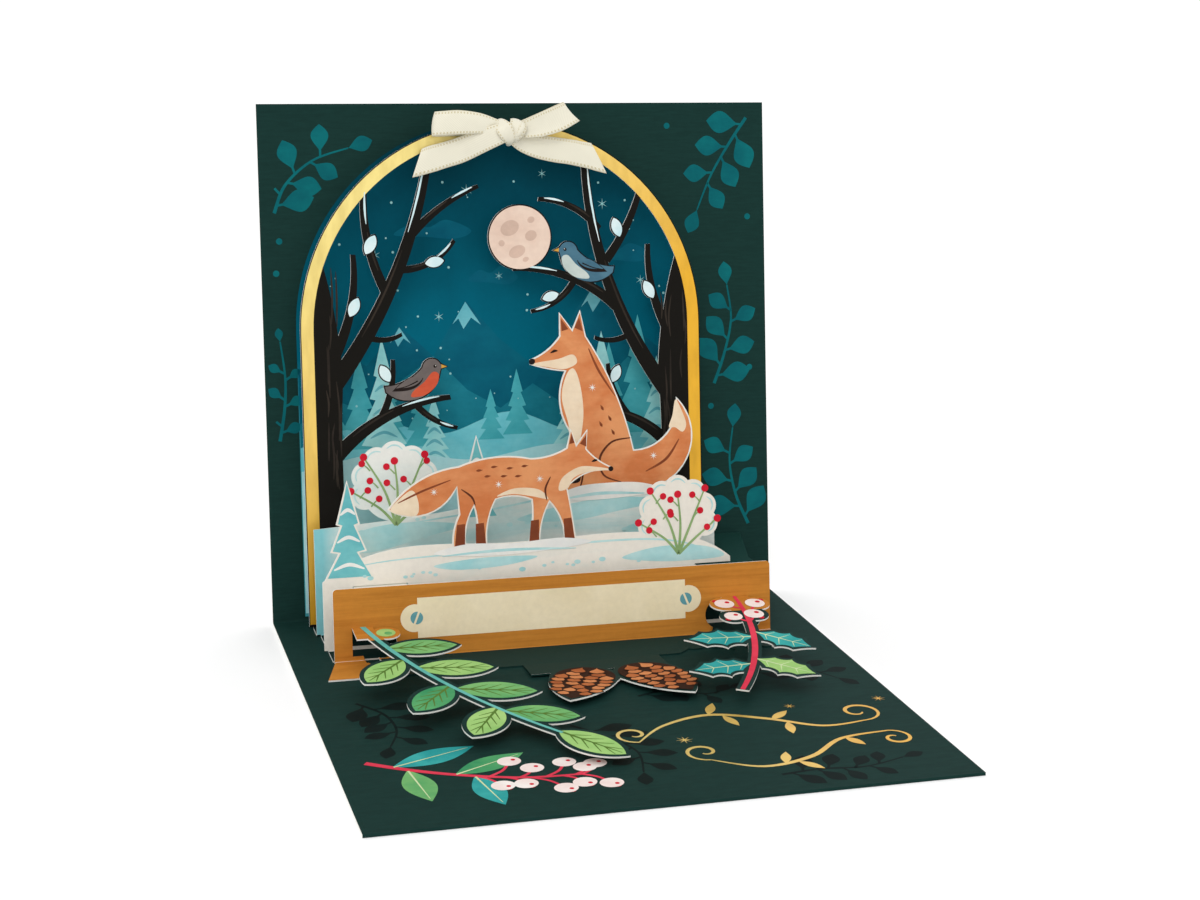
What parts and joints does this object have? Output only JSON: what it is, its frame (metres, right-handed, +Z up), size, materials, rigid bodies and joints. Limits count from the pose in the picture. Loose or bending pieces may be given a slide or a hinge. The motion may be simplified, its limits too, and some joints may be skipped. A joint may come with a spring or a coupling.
{
  "type": "pop up card",
  "caption": "Folded greeting card standing open, with layered die-cut winter scene sheets, an arch, a low band with sprigs and a ribbon bow.",
  "frame": {"origin": "middle of the underside of the card's base, on the surface it stands on", "axes": "+X along the fold to the viewer's right, +Y from the base's front edge towards the back panel, +Z up"},
  "size_m": [0.1334, 0.1497, 0.1319],
  "materials": {
    "cover_card": "matte print",
    "arch_card": "matte print with a foil border",
    "rear_card": "matte print",
    "front_card": "matte print",
    "band_card": "matte print",
    "strut_card": "matte print",
    "ribbon": "satin weave"
  },
  "bodies": {
    "root": {"cover": "cover_card", "arch_frame": "arch_card", "rear_scene": "rear_card", "front_scene": "front_card", "front_band": "band_card", "left_strut": "strut_card", "right_strut": "strut_card", "ribbon_bow": "ribbon"}
  },
  "joints": []
}
